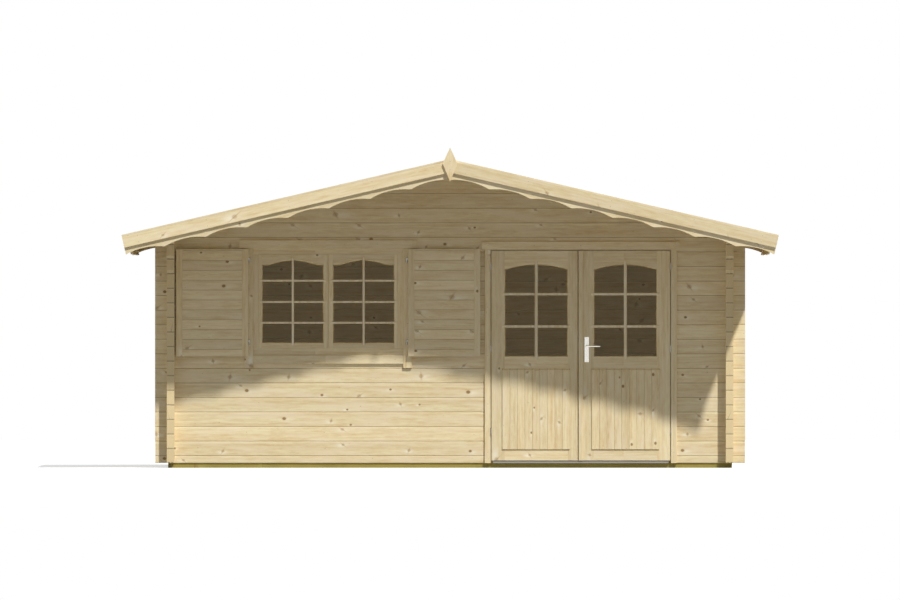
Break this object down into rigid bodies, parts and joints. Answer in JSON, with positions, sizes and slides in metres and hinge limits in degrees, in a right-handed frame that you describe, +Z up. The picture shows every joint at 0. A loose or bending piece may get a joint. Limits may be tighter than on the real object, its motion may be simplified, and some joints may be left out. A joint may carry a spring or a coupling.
{
  "type": "garden log cabin",
  "caption": "Garden log cabin with interlocking log corners, a scalloped gable roof over a deep porch, a glazed double door and a window with hinged shutters.",
  "frame": {"origin": "centre of the bounding box on the ground, under the roof's outline", "axes": "+X to the right along the front, +Y from the front wall to the back wall, +Z up"},
  "size_m": [6.0692, 5.2726, 2.964],
  "materials": {
    "wall_timber": "planed untreated spruce logs, matt",
    "board_timber": "planed untreated spruce boards, matt",
    "joinery_timber": "smooth planed untreated spruce, matt",
    "treated_timber": "green pressure-treated softwood, rough sawn",
    "pane_glass": "clear glass, dark in front of the unlit room",
    "hinge_steel": "bright zinc-plated steel",
    "handle_metal": "satin silver",
    "threshold_metal": "dull grey metal"
  },
  "bodies": {
    "root": {"bearers": "treated_timber", "floor_boards": "board_timber", "front_wall_below_window": "wall_timber", "front_wall_left": "wall_timber", "front_wall_middle": "wall_timber", "front_wall_right": "wall_timber", "front_gable": "wall_timber", "back_wall": "wall_timber", "left_wall": "wall_timber", "right_wall": "wall_timber", "purlins": "board_timber", "roof_boards_left": "board_timber", "roof_boards_right": "board_timber", "eave_boards": "board_timber", "bargeboards_front": "joinery_timber", "scalloped_boards_front": "joinery_timber", "bargeboards_back": "joinery_timber", "scalloped_boards_back": "joinery_timber", "verge_strips": "joinery_timber", "finials": "joinery_timber", "window_frame": "joinery_timber", "window_sashes": "joinery_timber", "window_glass": "pane_glass", "window_casing": "joinery_timber", "shutter_pins": "hinge_steel", "door_frame": "joinery_timber", "door_casing": "joinery_timber", "threshold": "threshold_metal", "door_pins": "hinge_steel"},
    "door_left": {"door_left_leaf": "joinery_timber", "door_left_glass": "pane_glass", "door_left_panel": "joinery_timber", "door_left_hinges": "hinge_steel"},
    "door_right": {"door_right_leaf": "joinery_timber", "door_right_glass": "pane_glass", "door_right_panel": "joinery_timber", "door_right_hinges": "hinge_steel", "door_cover_strip": "joinery_timber", "handle_plates": "handle_metal"},
    "door_lever": {"lever": "handle_metal"},
    "shutter_left": {"shutter_left": "joinery_timber", "shutter_left_boards": "joinery_timber", "shutter_left_hinges": "hinge_steel"},
    "shutter_right": {"shutter_right": "joinery_timber", "shutter_right_boards": "joinery_timber", "shutter_right_hinges": "hinge_steel"}
  },
  "joints": [
    {"name": "door_left_hinge", "type": "hinge", "parent": "root", "child": "door_left", "pos_m": [0.377, -1.604, 1], "axis": [0, 0, -1], "range_deg": [0, 105]},
    {"name": "door_right_hinge", "type": "hinge", "parent": "root", "child": "door_right", "pos_m": [2.045, -1.604, 1], "axis": [0, 0, 1], "range_deg": [0, 105]},
    {"name": "lever_turn", "type": "hinge", "parent": "door_right", "child": "door_lever", "pos_m": [1.266, -1.58, 1.128], "axis": [0, 1, 0], "range_deg": [0, 45]},
    {"name": "shutter_left_hinge", "type": "hinge", "parent": "root", "child": "shutter_left", "pos_m": [-1.857, -1.62, 1.5], "axis": [0, 0, 1], "range_deg": [0, 180]},
    {"name": "shutter_right_hinge", "type": "hinge", "parent": "root", "child": "shutter_right", "pos_m": [-0.403, -1.62, 1.5], "axis": [0, 0, -1], "range_deg": [0, 180]}
  ]
}
